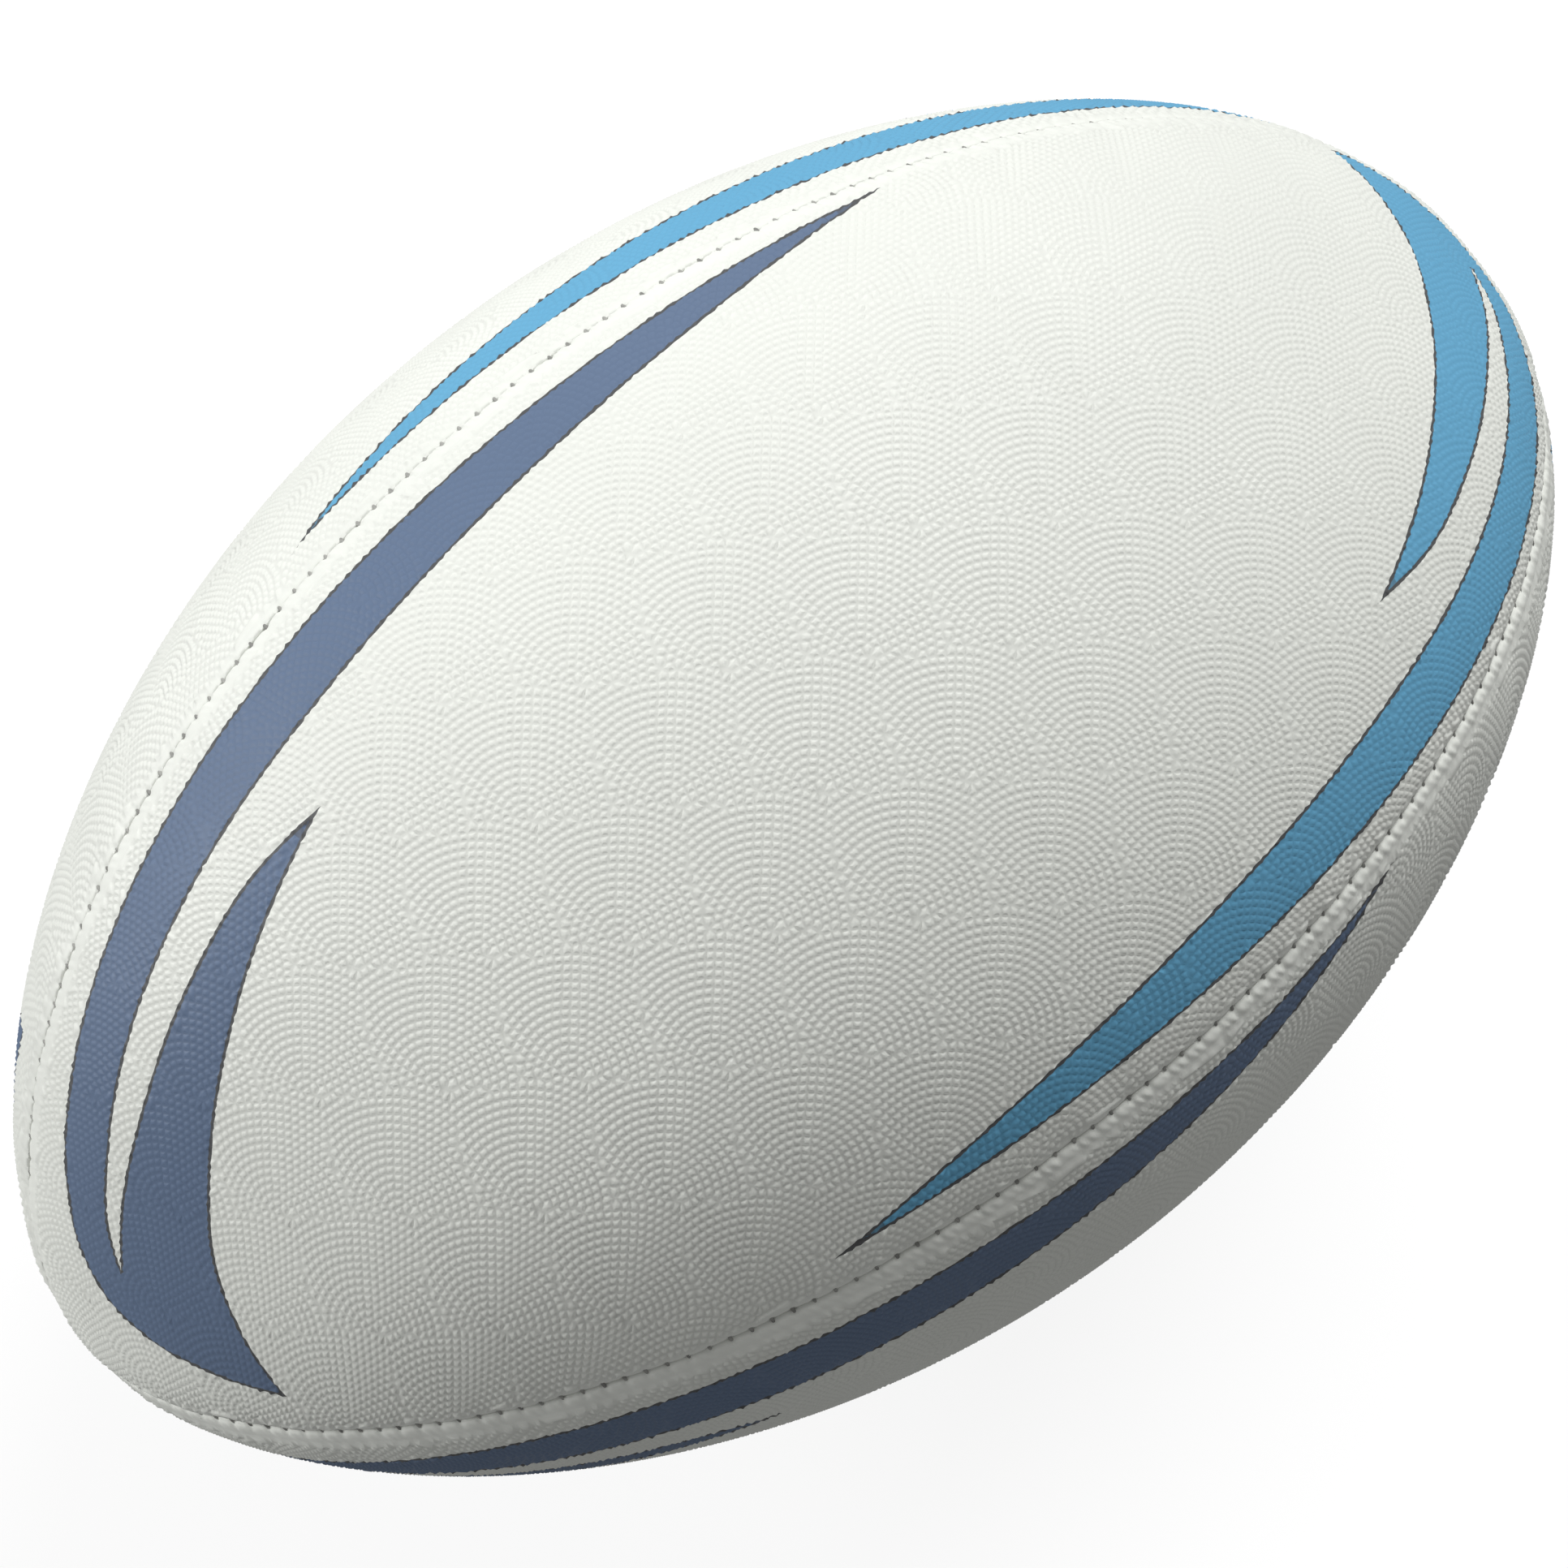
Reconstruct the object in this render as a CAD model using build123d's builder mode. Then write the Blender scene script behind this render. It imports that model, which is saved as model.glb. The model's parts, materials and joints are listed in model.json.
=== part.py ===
from build123d import *

import math
import os

# Size 5 rugby ball, lying on its side, in millimetres.
# Origin at the ball's centre, +X along its long axis, +Z up.
# Angles are about +X, from +Y (0) towards +Z (90).

# ---- Driving dimensions ----
ball_length = 290.0
ball_diameter = 186.0
profile_power = 0.59  # 0.5 would be an ellipse, more is a keener tip
tip_station = 88.0  # degrees along the profile where the panels' points stop

cover_thickness = 1.4
ply_thickness = 0.35
patch_thickness = 0.5
bladder_thickness = 0.95
flange_thickness = 1.5
seam_half_angle = 0.25  # half the groove that the thread lies in
thread_depth = 0.8
thread_recess = 0.4

panel_angles = {"top": 90.0, "front": 180.0, "bottom": 270.0, "back": 0.0}
seam_angles = {"top_back": 45.0, "top_front": 135.0, "bottom_front": 225.0, "bottom_back": 315.0}

# Valve, in the back panel a little under the ball's widest line
valve_angle = -16.0
valve_recess = 0.8  # mouth under the round of the cover
neck_radius = 4.5
neck_length = 12.0
neck_clearance = 0.1
flange_radius = 13.0
patch_radius = 19.0
plug_radius = 2.30
plug_fit = 0.05
head_radius = 3.4
head_fit = 0.1
head_thickness = 1.1
plug_length = 11.4
needle_radius = 1.0
needle_lead_in = 0.4  # chamfer that guides the needle into the bore
rim_chamfer = 0.3

# ---- Depth of each layer's outer face under the cover's outer face ----
half_length = ball_length / 2
half_width = ball_diameter / 2
ply_outer_depth = cover_thickness
ply_middle_depth = ply_outer_depth + ply_thickness
ply_inner_depth = ply_middle_depth + ply_thickness
patch_depth = ply_inner_depth + ply_thickness
bladder_depth = patch_depth + patch_thickness
flange_depth = bladder_depth + bladder_thickness
chamber_depth = flange_depth + flange_thickness

stations = [-tip_station, -75, -60, -45, -30, -15, 0, 15, 30, 45, 60, 75, tip_station]

os.makedirs("parts", exist_ok=True)


def profile_point(station, depth):
    """A point of the ball's outline, (along the axis, out from it), at a depth under the cover."""
    angle = math.radians(station)
    reach = (half_length - depth) / math.sin(math.radians(tip_station))
    return (reach * math.sin(angle), (half_width - depth) * math.cos(angle) ** (2 * profile_power))


def layer_sketch(depth, thickness, angle):
    """The section of one layer in the plane through the long axis at an angle."""
    with BuildSketch(Plane.XY.rotated((angle, 0, 0))) as section:
        with BuildLine():
            outer = Spline(*[profile_point(s, depth) for s in stations])
            inner = Spline(*[profile_point(s, depth + thickness) for s in stations])
            Line(outer @ 0, inner @ 0)
            Line(outer @ 1, inner @ 1)
        make_face()
    return section.sketch


def full_sketch(depth, thickness):
    """The section of a layer that closes on the axis at both tips."""
    with BuildSketch(Plane.XY) as section:
        with BuildLine():
            outer = Spline(*[profile_point(s, depth) for s in stations])
            inner = Spline(*[profile_point(s, depth + thickness) for s in stations])
            Polyline(outer @ 0, ((outer @ 0).X, 0), ((inner @ 0).X, 0), inner @ 0)
            Polyline(outer @ 1, ((outer @ 1).X, 0), ((inner @ 1).X, 0), inner @ 1)
        make_face()
    return section.sketch


# The valve's axis runs straight out through the widest line of the ball
valve_direction = Vector(0, math.cos(math.radians(valve_angle)), math.sin(math.radians(valve_angle)))
valve_plane = Plane(origin=(0, 0, 0), x_dir=(1, 0, 0), z_dir=valve_direction)
mouth_radius = half_width - valve_recess
mouth_plane = valve_plane.offset(mouth_radius)
panel_arc = 90.0 - 2 * seam_half_angle


def height_along_valve(edge):
    """How far out along the valve's axis an edge lies."""
    return edge.center().dot(valve_direction)


def panel_layer(name, side, depth, thickness):
    """One panel of one layer, a quarter of the shell between two seams."""
    start = panel_angles[side] - panel_arc / 2
    with BuildPart() as layer:
        add(layer_sketch(depth, thickness, start))
        revolve(axis=Axis.X, revolution_arc=panel_arc)
        if side == "back":
            with BuildSketch(valve_plane.offset(half_width + 1)):
                Circle(neck_radius + neck_clearance)
            extrude(amount=-(chamber_depth + 2), mode=Mode.SUBTRACT)
    layer.part.label = name
    export_step(layer.part, f"parts/{name}.step")
    return layer.part


# ---- Cover panels and the three plies laminated under each ----
for side in panel_angles:
    panel_layer(f"cover_panel_{side}", side, 0, cover_thickness)
    panel_layer(f"outer_ply_{side}", side, ply_outer_depth, ply_thickness)
    panel_layer(f"middle_ply_{side}", side, ply_middle_depth, ply_thickness)
    panel_layer(f"inner_ply_{side}", side, ply_inner_depth, ply_thickness)

# ---- Seam threads, each lying in the groove between two panels ----
for seam, angle in seam_angles.items():
    with BuildPart() as seam_thread:
        add(layer_sketch(thread_recess, thread_depth, angle - seam_half_angle))
        revolve(axis=Axis.X, revolution_arc=2 * seam_half_angle)
    seam_thread.part.label = f"seam_thread_{seam}"
    export_step(seam_thread.part, f"parts/seam_thread_{seam}.step")

# ---- Bladder, one closed skin with a hole for the valve's neck ----
with BuildPart() as bladder:
    add(full_sketch(bladder_depth, bladder_thickness))
    revolve(axis=Axis.X, revolution_arc=360)
    with BuildSketch(valve_plane.offset(half_width)):
        Circle(neck_radius)
    extrude(amount=-(chamber_depth + 2), mode=Mode.SUBTRACT)
bladder.part.label = "bladder"
export_step(bladder.part, "parts/bladder.step")

# ---- Valve patch, a ring of cloth that follows the inside of the carcass ----
with BuildPart() as valve_patch:
    add(full_sketch(patch_depth, patch_thickness))
    revolve(axis=Axis.X, revolution_arc=360)
    with BuildSketch(valve_plane.offset(half_width)):
        Circle(patch_radius)
        Circle(neck_radius + neck_clearance, mode=Mode.SUBTRACT)
    extrude(amount=-half_width / 2, mode=Mode.INTERSECT)
valve_patch.part.label = "valve_patch"
export_step(valve_patch.part, "parts/valve_patch.step")

# ---- Valve housing: a curved flange inside the bladder and a neck through the wall ----
with BuildPart() as valve_housing:
    add(full_sketch(flange_depth, flange_thickness))
    revolve(axis=Axis.X, revolution_arc=360)
    with BuildSketch(valve_plane.offset(half_width)):
        Circle(flange_radius)
    extrude(amount=-half_width / 2, mode=Mode.INTERSECT)
    with BuildSketch(mouth_plane):
        Circle(neck_radius)
    extrude(amount=-neck_length)
    with BuildSketch(mouth_plane):
        Circle(plug_radius + plug_fit)
    extrude(amount=-neck_length, mode=Mode.SUBTRACT)
    with BuildSketch(mouth_plane):
        Circle(head_radius + head_fit)
    extrude(amount=-(head_thickness + head_fit), mode=Mode.SUBTRACT)
    mouth_edges = valve_housing.edges().filter_by(GeomType.CIRCLE).sort_by(height_along_valve)
    fillet(mouth_edges[-2:].sort_by(SortBy.RADIUS)[-1], radius=rim_chamfer)
valve_housing.part.label = "valve_housing"
export_step(valve_housing.part, "parts/valve_housing.step")

# ---- Valve plug: a flat head and a round shank, bored for the pump needle ----
with BuildPart() as valve_plug:
    with BuildSketch(mouth_plane):
        Circle(plug_radius)
    extrude(amount=-plug_length)
    with BuildSketch(mouth_plane):
        Circle(head_radius)
    extrude(amount=-head_thickness)
    rims = valve_plug.edges().filter_by(GeomType.CIRCLE).sort_by(height_along_valve)
    chamfer([rims[0], rims[-1]], length=rim_chamfer)
    with BuildSketch(mouth_plane):
        Circle(needle_radius)
    extrude(amount=-plug_length, mode=Mode.SUBTRACT)
    needle_rims = valve_plug.edges().filter_by(GeomType.CIRCLE).group_by(SortBy.RADIUS)[0]
    chamfer(needle_rims.sort_by(height_along_valve)[-1], length=needle_lead_in)
valve_plug.part.label = "valve_plug"
export_step(valve_plug.part, "parts/valve_plug.step")
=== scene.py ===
import json
import math

import bmesh
import bpy
import numpy as np
from mathutils import Matrix, Vector
from mathutils.geometry import delaunay_2d_cdt
from mathutils.kdtree import KDTree

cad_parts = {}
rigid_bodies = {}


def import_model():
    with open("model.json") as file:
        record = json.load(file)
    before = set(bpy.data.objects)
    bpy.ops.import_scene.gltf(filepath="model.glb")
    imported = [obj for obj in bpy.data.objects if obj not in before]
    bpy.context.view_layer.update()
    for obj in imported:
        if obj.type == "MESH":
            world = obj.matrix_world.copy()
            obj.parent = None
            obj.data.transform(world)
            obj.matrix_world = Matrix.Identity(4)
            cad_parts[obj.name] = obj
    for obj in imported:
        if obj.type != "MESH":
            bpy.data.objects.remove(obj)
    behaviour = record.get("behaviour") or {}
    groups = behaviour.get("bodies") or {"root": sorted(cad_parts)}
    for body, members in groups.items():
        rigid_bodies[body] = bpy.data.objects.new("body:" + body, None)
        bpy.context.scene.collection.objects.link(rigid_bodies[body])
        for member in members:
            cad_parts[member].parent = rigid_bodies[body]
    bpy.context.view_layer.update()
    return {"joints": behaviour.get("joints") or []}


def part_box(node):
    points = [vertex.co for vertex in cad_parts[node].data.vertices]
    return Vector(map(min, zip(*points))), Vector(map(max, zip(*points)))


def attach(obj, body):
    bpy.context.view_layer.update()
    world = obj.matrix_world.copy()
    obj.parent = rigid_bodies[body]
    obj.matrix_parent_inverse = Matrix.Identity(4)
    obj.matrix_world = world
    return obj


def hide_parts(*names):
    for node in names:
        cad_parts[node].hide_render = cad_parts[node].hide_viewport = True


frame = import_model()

# A sewn rugby ball lying on its side. Lengths here are millimetres and angles degrees,
# and everything is turned to metres where a mesh is made.
# A panel's own coordinates are (station, turn): station runs along the ball's outline from
# -90 at one tip to 90 at the other, and turn goes round the long axis from the panel's middle.
# Its flat coordinates are (s, t): millimetres along its middle line and across it.

MM = 0.001

# ---- Sizes from the frame ----
_, top_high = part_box("cover_panel_top")
HALF_LENGTH = top_high[0] / MM
HALF_WIDTH = top_high[2] / MM
valve_joint = next(j for j in frame["joints"] if j["name"] == "valve_plug_pull")
VALVE_AXIS = Vector(valve_joint["axis"]).normalized()
BACK_TURN = -math.degrees(math.atan2(VALVE_AXIS.z, VALVE_AXIS.y))  # of the valve, on the back panel

# ---- The ball's form ----
PROFILE_POWER = 0.59  # 0.5 makes the outline an ellipse, and more makes it more pointed
SQUARENESS_MIDDLE = 0.020  # how far seams stand out and panel middles lie in, as a share
SQUARENESS_TIP = 0.030  # what is added to that towards the tips
PANEL_HALF_TURN = 45.0
TIP_DIMPLE = 1.8
TIP_DIMPLE_REACH = 5.0
LAST_STATION = 89.6  # the surface's normal is taken no nearer to a tip than this
LAYER_LAST_STATION = 88.5  # where the grids of the inner layers end
NORMAL_STEP = 0.05
LEAST_RADIUS = 0.02  # what a tip's radius counts as where something is divided by it
OUTLINE_STEPS = 3600

# ---- Layers from the outside in, by thickness ----
COVER_DEPTH = 1.4
PLY_DEPTH = 0.35
PATCH_DEPTH = 0.5
BLADDER_DEPTH = 0.95
PLY_HALF_TURN = PANEL_HALF_TURN - 0.25  # plies stop just short of the seam

# ---- Hidden inner faces of the cover panels ----
INNER_GRID = 4.0  # pitch of their points
INNER_GRID_ROWS = 19  # rows of them to each side of the middle line
INNER_GRID_MARGIN = 1.5
INNER_GRID_HOLE_MARGIN = 1.0
OUT_OF_REACH = 9.0  # distance from print and seam that their points are given

# ---- Pimples, moulded in overlapping fans of arcs ----
PIMPLE_PITCH = 1.22
PIMPLE_RISE = 0.42
PIMPLE_REACH = 0.70
SADDLE_RISE = 0.16  # how high the saddle between two pimples of one arc is, as a share
PIMPLE_CLOSEST = 0.84  # of two pimples nearer than this, one is left out
PIMPLE_FADE_START = 0.5  # pimples begin to rise this far outside the place where they start
PIMPLE_FADE = 1.2
CELL_REACH = 2.6  # pimples further apart than this share no cell
CORNER_MERGE = 0.24
FAN_RADIUS = 12.1
FAN_RINGS = 20
FAN_STEP_ALONG = 16.3
FAN_STEP_ACROSS = 21.3
FAN_START = (-77.0, -6.1)
FAN_AXIS = 40.0  # the way the fans open, turned from across the panel towards its +X tip
FAN_COLUMNS = range(-8, 18)  # more columns and rows than lie on a panel: the others are left out
FAN_ROWS = range(-8, 9)
FAN_BACK = 0.5  # how far a fan covers behind its own centre
FAN_SPREAD = 0.25  # how much of a place's distance lies ahead of a fan that can reach up to it
FAN_LOSES = 100.0  # added to the distance of a fan that can't

# ---- Seams ----
SEAM_EDGE = 0.015  # from the seam's line to the panel's cut edge
SEAM_DEPTH = 0.34
SEAM_ROUND = 0.40
SEAM_ROUND_POWER = 1.7
SEAM_DIP = 0.22
SEAM_DIP_REACH = 2.4
STITCH_PITCH = 3.3
STITCH_SHARPNESS = 5
# In each pair here the first value is for the edge that lies under the stitches, at -t, and
# the second for the edge that is stitched over, at +t
STITCH_OPENING = (0.10, 0.52)  # how much further the two cut edges stand back at a stitch
STITCH_PIT = (0.25, 0.60)
STITCH_PIT_REACH = 0.8
LIP_SWELL = (0.06, 0.24)
LIP_AT = (0.9, 1.45)
LIP_REACH = (0.5, 1.05)
EDGE_ROWS = ((SEAM_EDGE, 0.34, 0.62, 0.92), (SEAM_EDGE, 0.66, 0.95, 1.3, 1.7, 2.2, 2.8))
LIP_PINCH = 0.6  # share of its swell that a lip loses at a stitch
PULL_LEAST = 0.35  # share of the lips and pleats left near the -X tip: the +X half has them whole
PULL_FADE = 55.0
PLEATS_PER_STITCH = 2
PLEAT_RISE = 0.085
PLEAT_AT = 1.4
PLEAT_REACH = 1.3
PLEAT_LEAN = 0.6
PLEAT_UNEVEN_RISE = 0.35
PLEAT_UNEVEN_SHIFT = 0.8
UNEVEN_WAVES = ((1.13, 0.0), (0.71, 1.0))  # each one's radians a millimetre, and its phase
WANDER_WAVES = 10  # long faint waves along the seams
WANDER_LENGTHS = (9, 30)
WANDER_AMOUNTS = (0.02, 0.05)
WANDER_REACH = 5.0
EDGE_STEP = 0.35
EDGE_END_GAP = 0.3
EDGE_MIDDLE_GAP = 0.05
EDGE_SLACK = 0.2
CUT_SLACK = 0.05
PIMPLE_EDGE = 1.15  # pimples start this far from the seam
SMOOTH_MARGIN = 3.3  # and this far from it along the edge that is stitched over

# ---- Thread ----
RUN_RADIUS = 0.34  # the thread that runs along in the groove
RUN_DEPTH = 1.15
RUN_STEP = 1.4
RUN_TIP_GAP = 2.0
STITCH_OUT = (-1.0, -0.85, -0.5, 0.0, 0.5, 0.85, 1.0)  # places across the seam on one stitch
STITCH_DEPTH = (1.35, 0.95, 0.72, 0.66, 0.72, 0.95, 1.35)
STITCH_THICK = (0.2, 0.27, 0.3, 0.3, 0.3, 0.27, 0.2)
STITCH_TIP_GAP = 3.0
STITCH_LEAST_RADIUS = 2.5  # no stitches where the ball is narrower than this

# ---- Printed forks, as (station, turn) knots ----
# One outline serves for both colours, the second time half a turn round the print's middle
PRINT_MIDDLE = 1.6
INK_LINE = 0.5
PRINT_STEP = 0.7
PRINT_CLEAR = 0.30  # mesh points nearer than this to the print's lines make way for them
PRINT_LINK_CLEAR = 0.5  # and no cell's side is kept that ends nearer than this to the outline
INSET_SHARE = 0.93  # an inset point nearer to its outline than this share is left out
FORK_OUTER_EDGE = [
    (22, 42), (8, 40.9), (-20, 40.1), (-40, 38.2), (-53, 33.6), (-61.5, 25.4),
    (-65.8, 14), (-66.9, -1), (-65.3, -15), (-61.5, -26), (-55.8, -34),
]
FORK_HOLLOW_EDGE = [
    (-55.8, -34), (-55.1, -20), (-53, -8), (-47.6, 5), (-40, 15), (-33, 20.7), (-26.3, 24.3),
]
FORK_SHORT_EDGE = [(-26.3, 24.3), (-32, 25.1), (-40, 23.4), (-50, 18.2), (-58, 11), (-62.3, 3.5)]
FORK_LONG_EDGE = [
    (-62.3, 3.5), (-60.3, 11), (-55, 19.3), (-47, 26), (-35, 30.4), (-20, 32.5), (0, 35.3),
    (11, 37.8), (22, 42),
]
FORK_EDGES = (FORK_OUTER_EDGE, FORK_HOLLOW_EDGE, FORK_SHORT_EDGE, FORK_LONG_EDGE)

# ---- Valve in the back panel ----
VALVE_HOLE = 4.6
VALVE_COLLAR = 7.0
VALVE_COLLAR_RISE = 0.35
COLLAR_RAMP = (0.5, 1.0)  # width of its slope at the hole and at its outside
COLLAR_RINGS = ((VALVE_HOLE, 40), (4.85, 40), (5.3, 44), (6.1, 48), (VALVE_COLLAR, 54))
COLLAR_MARGIN = 0.5
PLY_HOLE = 4.8
BLADDER_HOLE = 4.7

# ---- Smallest things that count in a mesh ----
SAME_PLACE = 0.01
LEAST_AREA = 1e-5
TINY = 1e-6
HOLE_SHARE = 0.995  # a face whose middle is nearer to the valve than this share of the hole is cut

PANELS = {"top": 90.0, "front": 180.0, "bottom": 270.0, "back": 0.0}
SEAMS = {"top_back": 45.0, "top_front": 135.0, "bottom_front": 225.0, "bottom_back": 315.0}

# ---- Colours ----
WHITE = (0.795, 0.812, 0.763)
NAVY = (0.128, 0.180, 0.280)
SKY = (0.136, 0.390, 0.60)
LINE = (0.09, 0.092, 0.094)
PLY_COLOUR = (0.66, 0.62, 0.52)
PATCH_COLOUR = (0.52, 0.48, 0.38)
THREAD_COLOUR = (0.34, 0.34, 0.32)
BLADDER_COLOUR = (0.02, 0.02, 0.02)
VALVE_COLOUR = (0.03, 0.03, 0.032)
PLUG_COLOUR = (0.10, 0.10, 0.11)
PLY_THREAD_PITCH = 3.77
PATCH_THREAD_PITCH = 6.28

# ---- Stage, lights and camera, in metres ----
FLOOR_REACH = 12.0
FLOOR_COLOUR = (0.2, 0.2, 0.2)
FLOOR_GLOW = 0.85
DOME_RADIUS = 10.0
DOME_GLOW = 0.90
WORLD_LIGHT = 0.26
LIGHT_REACH = 1.5
LIGHT_SIZE = 0.8
KEY_WAY = (0.434, 0.278, 0.430)
KEY_POWER = 19.2
FILL_WAY = (-0.335, 0.336, 0.142)
FILL_POWER = 14.8
CAMERA_PLACE = Vector((-0.0641, -0.0210, 0.4600))
CAMERA_TARGET = Vector((-0.0022, 0.0011, 0.0))
CAMERA_ROLL = 38.0
CAMERA_NEAR = 0.01
SENSOR = 36.0  # this and the lens are in millimetres
LENS = 64.65


# ==== Surface of the ball ====

def base_radius(station):
    """The ball's radius at a station, before its round section is squared a little."""
    return HALF_WIDTH * np.clip(np.cos(np.radians(station)), 0, 1) ** (2 * PROFILE_POWER)


def surface(station, turn, facing):
    """Points of the bare outer surface. facing is the panel's middle, about +X from +Y."""
    along = np.sin(np.radians(station))
    square = SQUARENESS_MIDDLE + SQUARENESS_TIP * along**2
    radius = base_radius(station) * (1 - square * np.cos(4 * np.radians(turn)))
    angle = np.radians(facing - turn)
    return np.stack([HALF_LENGTH * along, radius * np.cos(angle), radius * np.sin(angle)], -1)


def lifted(station, turn, rise, facing):
    """Points above the bare surface by rise, along its normal, in millimetres."""
    station = np.clip(np.asarray(station, float), -LAST_STATION, LAST_STATION)
    turn = np.asarray(turn, float)
    step = NORMAL_STEP
    along = surface(station + step, turn, facing) - surface(station - step, turn, facing)
    across = surface(station, turn - step, facing) - surface(station, turn + step, facing)
    normal = np.cross(across, along)
    normal /= np.linalg.norm(normal, axis=-1, keepdims=True)
    return surface(station, turn, facing) + normal * np.asarray(rise, float)[..., None]


# Arc length along a panel's middle line, and the panel's half width there
station_table = np.linspace(-90, 90, OUTLINE_STEPS + 1)
outline_x = HALF_LENGTH * np.sin(np.radians(station_table))
outline_r = base_radius(station_table)
arc_steps = np.hypot(np.diff(outline_x), np.diff(outline_r))
arc_table = np.concatenate([[0], np.cumsum(arc_steps)])
arc_table -= arc_table[-1] / 2
HALF_ARC = arc_table[-1]
edge_table = outline_r * math.radians(PANEL_HALF_TURN)
edge_slope_table = np.gradient(edge_table, arc_table)


def flat(station, turn):
    """From (station, turn) to flat (s, t)."""
    s = np.interp(station, station_table, arc_table)
    return np.stack([s, np.radians(turn) * base_radius(station)], -1)


def unflat(points):
    """From flat (s, t) to (station, turn)."""
    station = np.interp(points[:, 0], arc_table, station_table)
    radius = np.maximum(base_radius(station), LEAST_RADIUS)
    turn = np.degrees(points[:, 1] / radius)
    return station, np.clip(turn, -PANEL_HALF_TURN, PANEL_HALF_TURN)


def tip_dimple(s):
    """How far the outside is drawn in near the tips, at a place along the middle line."""
    to_tip = HALF_ARC - np.abs(s)
    return TIP_DIMPLE * np.exp(-((to_tip / TIP_DIMPLE_REACH) ** 2))


def from_edge(points, side=None):
    """Distance in from the nearer seam line, or from the seam on one side, +1 or -1."""
    edge = np.interp(points[:, 0], arc_table, edge_table)
    slope = np.interp(points[:, 0], arc_table, edge_slope_table)
    t = np.abs(points[:, 1]) if side is None else side * points[:, 1]
    return (edge - t) / np.sqrt(1 + slope**2)


# ==== Outlines ====

def smooth_run(knots):
    """A smooth curve through a few (station, turn) knots, as flat points about PRINT_STEP apart."""
    knots = np.array(knots, float)
    places = flat(knots[:, 0], knots[:, 1])
    spans = np.maximum(np.linalg.norm(np.diff(places, axis=0), axis=1), TINY)
    at = np.concatenate([[0], np.cumsum(spans)])
    slopes = np.empty_like(places)
    secants = np.diff(places, axis=0) / spans[:, None]
    weights = spans[1:, None] / (spans[:-1] + spans[1:])[:, None]
    slopes[1:-1] = secants[:-1] * weights + secants[1:] * (1 - weights)
    slopes[0] = 1.5 * secants[0] - 0.5 * slopes[1]
    slopes[-1] = 1.5 * secants[-1] - 0.5 * slopes[-2]
    where = np.linspace(0, at[-1], max(int(at[-1] / PRINT_STEP), 2) + 1)
    i = np.clip(np.searchsorted(at, where, side="right") - 1, 0, len(spans) - 1)
    u = ((where - at[i]) / spans[i])[:, None]
    width = spans[i][:, None]
    return (
        (2 * u**3 - 3 * u**2 + 1) * places[i]
        + (u**3 - 2 * u**2 + u) * width * slopes[i]
        + (3 * u**2 - 2 * u**3) * places[i + 1]
        + (u**3 - u**2) * width * slopes[i + 1]
    )


def fork_loop():
    """The printed fork's closed outline."""
    return np.concatenate([smooth_run(edge)[:-1] for edge in FORK_EDGES])


def half_turned(loop):
    """The same loop half a turn round the print's middle."""
    middle = flat(np.array([PRINT_MIDDLE]), np.array([0.0]))[0]
    return 2 * middle - loop


def inside(points, loop):
    """Which points lie inside a closed loop."""
    ahead = np.roll(loop, -1, axis=0)
    hit = np.zeros(len(points), bool)
    for a, b in zip(loop, ahead):
        crosses = (a[1] > points[:, 1]) != (b[1] > points[:, 1])
        if b[1] != a[1]:
            x = a[0] + (points[:, 1] - a[1]) * (b[0] - a[0]) / (b[1] - a[1])
            hit ^= crosses & (points[:, 0] < x)
    return hit


def tree_of(points):
    """A search tree of flat points."""
    tree = KDTree(len(points))
    for i, p in enumerate(points):
        tree.insert((p[0], p[1], 0), i)
    tree.balance()
    return tree


def nearest(tree, points):
    """Distance from each point to the nearest one in a tree."""
    return np.array([tree.find((p[0], p[1], 0))[2] for p in points])


def loop_distance(points, loop):
    """Distance from each point to a closed loop, taken to the two sides at its nearest corner."""
    tree = tree_of(loop)
    index = np.array([tree.find((p[0], p[1], 0))[1] for p in points])
    best = np.full(len(points), np.inf)
    for turn in (-1, 0):
        a = loop[(index + turn) % len(loop)]
        b = loop[(index + turn + 1) % len(loop)]
        run = b - a
        u = np.clip(((points - a) * run).sum(1) / (run**2).sum(1), 0, 1)
        best = np.minimum(best, np.linalg.norm(points - a - run * u[:, None], axis=1))
    return best


# ==== Pimples ====

def fan_centres():
    """Centres of the fans, from the front one to the hindmost, and the way they open."""
    turned = math.radians(FAN_AXIS)
    opening = np.array([math.sin(turned), math.cos(turned)])
    centres = []
    for i in FAN_COLUMNS:
        for j in FAN_ROWS:
            s = FAN_START[0] + i * FAN_STEP_ALONG
            t = FAN_START[1] + (j - 0.5 * (i % 2)) * FAN_STEP_ACROSS
            if abs(s) < HALF_ARC + FAN_RADIUS and abs(t) < edge_table.max() + FAN_RADIUS:
                centres.append((s, t))
    centres = np.array(centres)
    return centres[np.argsort(centres @ opening)], opening


def fan_of(points, centres, opening):
    """Which fan each point belongs to: the front one that covers it, or one that reaches up to it."""
    out = points[:, None, :] - centres[None, :, :]
    distance = np.linalg.norm(out, axis=2)
    ahead = out @ opening
    covers = (distance <= FAN_RADIUS) & (ahead > -FAN_BACK)
    reaches = np.where(ahead > FAN_SPREAD * distance, distance, distance + FAN_LOSES)
    return np.where(covers.any(axis=1), covers.argmax(axis=1), reaches.argmin(axis=1))


def pimple_start(points):
    """How far from the seam pimples start: one edge of each panel has a smooth margin."""
    return np.where(points[:, 1] > 0, SMOOTH_MARGIN, PIMPLE_EDGE)


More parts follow.
